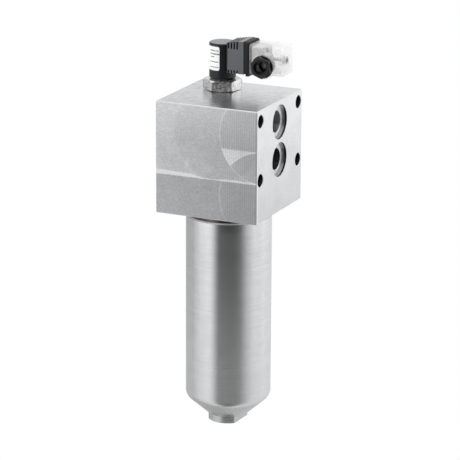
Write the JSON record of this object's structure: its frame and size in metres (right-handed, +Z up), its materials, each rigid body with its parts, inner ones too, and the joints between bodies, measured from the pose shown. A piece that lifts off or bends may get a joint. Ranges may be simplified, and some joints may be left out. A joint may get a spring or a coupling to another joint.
{
  "type": "high-pressure hydraulic filter with clogging indicator",
  "caption": "Side-mounted hydraulic filter: machined block with both ports in one face, long steel bowl over a pleated element, bypass valve and electrical clogging indicator with plug.",
  "frame": {"origin": "centre of the four-hole bolt pattern, on the port face of the block", "axes": "+X out of the port face, -Y out of the milled front face, +Z up along the bowl's axis towards the indicator"},
  "size_m": [0.096, 0.096, 0.3442],
  "materials": {
    "block_steel": "machined, satin",
    "bowl_steel": "turned, satin",
    "plug_steel": "phosphated",
    "fine_steel": "turned",
    "spring_steel": "drawn wire",
    "seat_brass": "turned",
    "seal_rubber": "matte",
    "ring_polymer": "matte",
    "cap_steel": "pressed, plated",
    "media_fibre": "pleated fibre",
    "indicator_steel": "plated",
    "magnet": "sintered",
    "switch_glass": "clear",
    "housing_black": "moulded, fine texture",
    "label_film": "film",
    "base_black": "moulded",
    "contact_metal": "tinned",
    "plug_clear": "milky clear",
    "insert_polymer": "moulded",
    "screw_steel": "plated",
    "grommet_rubber": "matte",
    "nut_black": "moulded"
  },
  "bodies": {
    "head": {"head_block": "block_steel", "gallery_plug": "plug_steel", "sense_plug": "plug_steel", "outlet_tube": "fine_steel", "bypass_seat": "seat_brass", "bypass_spring": "spring_steel", "indicator_body": "indicator_steel", "indicator_seal": "seal_rubber", "stem_o_ring": "seal_rubber", "piston_stop_ring": "spring_steel", "indicator_spring": "spring_steel", "reed_switch": "switch_glass", "indicator_housing": "housing_black", "housing_snap_ring": "spring_steel", "indicator_label": "label_film", "connector_base": "base_black", "contact_blades": "contact_metal", "connector_gasket": "seal_rubber"},
    "bypass": {"bypass_poppet": "fine_steel"},
    "rim_ring": {"bowl_rim_ring": "ring_polymer"},
    "bowl_seals": {"bowl_backup_ring": "ring_polymer", "bowl_o_ring": "seal_rubber"},
    "bowl": {"bowl": "bowl_steel", "drain_plug": "plug_steel", "drain_o_ring": "seal_rubber"},
    "element": {"element_top_cap": "cap_steel", "element_bottom_cap": "cap_steel", "element_core": "fine_steel", "element_media": "media_fibre", "element_o_ring": "seal_rubber"},
    "piston": {"indicator_piston": "fine_steel", "indicator_magnet": "magnet"},
    "plug": {"plug_housing": "plug_clear", "plug_insert": "insert_polymer", "plug_sockets": "contact_metal", "terminal_screws": "screw_steel", "centre_screw": "screw_steel", "screw_seal": "seal_rubber", "gland_grommet": "grommet_rubber", "gland_washer": "fine_steel"},
    "gland_nut": {"gland_nut": "nut_black"}
  },
  "joints": [
    {"name": "bowl_draw", "type": "slide", "parent": "head", "child": "rim_ring", "axis": [0, 0, -1], "range_m": [0, 0.205]},
    {"name": "bowl_thread_travel", "type": "slide", "parent": "rim_ring", "child": "bowl_seals", "axis": [0, 0, -1], "range_m": [0, 0.0185]},
    {"name": "bowl_turn", "type": "hinge", "parent": "bowl_seals", "child": "bowl", "pos_m": [-0.048, 0, -0.15], "axis": [0, 0, -1], "range_deg": [0, 3240]},
    {"name": "element_pull", "type": "slide", "parent": "head", "child": "element", "axis": [0, 0, -1], "range_m": [0, 0.018]},
    {"name": "bypass_lift", "type": "slide", "parent": "head", "child": "bypass", "axis": [0, 0, 1], "range_m": [0, 0.0035], "stiffness_N_per_m": 2500, "springref_m": -0.002, "deforming": ["bypass_spring"]},
    {"name": "indicator_lift", "type": "slide", "parent": "head", "child": "piston", "axis": [0, 0, 1], "range_m": [0, 0.003], "stiffness_N_per_m": 2000, "springref_m": -0.002, "deforming": ["indicator_spring"]},
    {"name": "plug_pull", "type": "slide", "parent": "head", "child": "plug", "axis": [1, 0, 0], "range_m": [0, 0.03]},
    {"name": "gland_turn", "type": "hinge", "parent": "plug", "child": "gland_nut", "pos_m": [-0.0162, 0, 0.064], "axis": [0, 1, 0], "range_deg": [0, 360]}
  ],
  "couplings": [
    {"joint": "bowl_thread_travel", "follows": "bowl_turn", "m_per_rad": 0.00031831}
  ]
}
